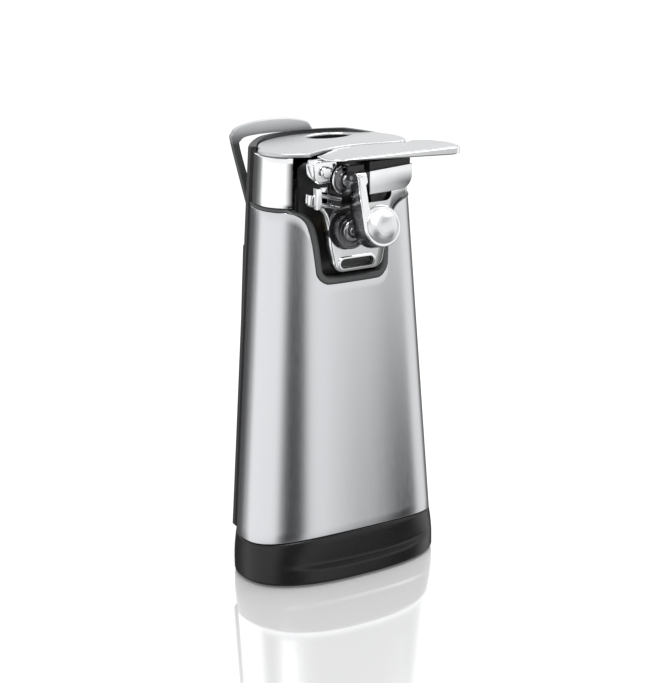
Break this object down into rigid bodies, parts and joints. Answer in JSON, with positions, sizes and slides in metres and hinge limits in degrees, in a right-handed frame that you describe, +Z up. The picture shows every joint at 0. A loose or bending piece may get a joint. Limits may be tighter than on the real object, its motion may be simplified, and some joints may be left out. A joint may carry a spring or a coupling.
{
  "type": "electric can opener",
  "caption": "Tall electric can opener with a tapered steel body, a lever with a cutting disc, a hinged magnet arm, a toothed feed wheel and a loop-handled tool docked behind.",
  "frame": {"origin": "the middle of the object's footprint box, on the surface it stands on", "axes": "+Z up, -Y towards the front with the cutting parts, +X to the right seen from the front"},
  "size_m": [0.1256, 0.109, 0.256],
  "materials": {
    "brushed_steel": "vertically brushed stainless sheet",
    "chrome": "polished chrome plating",
    "satin_silver": "satin silver",
    "black_plastic": "black, soft gloss",
    "grey_plastic": "dark grey, fine texture",
    "hard_steel": "ground hardened steel",
    "zinc_steel": "zinc-plated steel",
    "nylon": "natural nylon",
    "rubber": "soft black rubber",
    "brass": "sintered bush",
    "stone": "grey abrasive stone"
  },
  "bodies": {
    "housing": {"steel_wrap": "brushed_steel", "head_cover_left": "chrome", "head_cover_right": "chrome", "face_plate": "chrome", "can_guide": "chrome", "top_plate": "satin_silver", "base_shell": "black_plastic", "bottom_cover": "black_plastic", "inner_body": "black_plastic", "rear_housing": "black_plastic", "recess_panel": "black_plastic", "sharpener_insert": "black_plastic", "face_spacer_1": "black_plastic", "face_spacer_2": "black_plastic", "switch_box": "black_plastic", "tool_dock": "black_plastic", "shoulder_trim": "grey_plastic", "base_screw_1": "zinc_steel", "base_screw_2": "zinc_steel", "base_screw_3": "zinc_steel", "base_screw_4": "zinc_steel", "gear_plate_front": "zinc_steel", "gear_plate_back": "zinc_steel", "gearbox_post_1": "zinc_steel", "gearbox_post_2": "zinc_steel", "gearbox_post_3": "zinc_steel", "idler_axle": "zinc_steel", "motor_can": "zinc_steel", "lever_pin": "zinc_steel", "foot_1": "rubber", "foot_2": "rubber", "foot_3": "rubber", "foot_4": "rubber", "cord_gland": "rubber", "shaft_bush": "brass", "sharpening_stone_left": "stone", "sharpening_stone_right": "stone"},
    "lever": {"lever_cap": "satin_silver", "lever_frame": "chrome", "lever_apron": "chrome", "lever_seal": "black_plastic", "hinge_block": "black_plastic", "magnet_pin": "zinc_steel", "cutter_screw": "zinc_steel"},
    "cutter": {"cutter_wheel": "hard_steel"},
    "magnet_arm": {"magnet_arm": "chrome", "magnet_cap": "chrome", "magnet": "hard_steel"},
    "drive": {"feed_wheel": "hard_steel", "drive_shaft": "zinc_steel", "output_gear": "nylon"},
    "idler": {"compound_gear": "nylon"},
    "rotor": {"motor_pinion": "nylon"},
    "tool": {"multi_tool": "grey_plastic"},
    "plunger": {"switch_plunger": "grey_plastic"}
  },
  "joints": [
    {"name": "lever_hinge", "type": "hinge", "parent": "housing", "child": "lever", "pos_m": [-0.025, -0.021, 0.2384], "axis": [0, -1, 0], "range_deg": [0, 24]},
    {"name": "cutter_spin", "type": "hinge", "parent": "lever", "child": "cutter", "pos_m": [-0.013, -0.0296, 0.2336], "axis": [0, -1, 0], "continuous": true},
    {"name": "magnet_swing", "type": "hinge", "parent": "lever", "child": "magnet_arm", "pos_m": [-0.0098, -0.038, 0.236], "axis": [-1, 0, 0], "range_deg": [0, 80]},
    {"name": "drive_spin", "type": "hinge", "parent": "housing", "child": "drive", "pos_m": [-0.0098, -0.017, 0.2055], "axis": [0, -1, 0], "continuous": true},
    {"name": "idler_spin", "type": "hinge", "parent": "housing", "child": "idler", "pos_m": [-0.0008, 0.003, 0.18111], "axis": [0, -1, 0], "continuous": true},
    {"name": "motor_spin", "type": "hinge", "parent": "housing", "child": "rotor", "pos_m": [-0.0008, 0.008, 0.16081], "axis": [0, -1, 0], "continuous": true},
    {"name": "tool_slide", "type": "slide", "parent": "housing", "child": "tool", "axis": [0, 0, 1], "range_m": [0, 0.085]},
    {"name": "switch_press", "type": "slide", "parent": "housing", "child": "plunger", "axis": [0, 1, 0], "range_m": [0, 0.0018], "stiffness_N_per_m": 300, "springref_m": -0.001}
  ],
  "couplings": [
    {"joint": "idler_spin", "follows": "drive_spin", "ratio": -3.3333},
    {"joint": "motor_spin", "follows": "drive_spin", "ratio": 16}
  ]
}
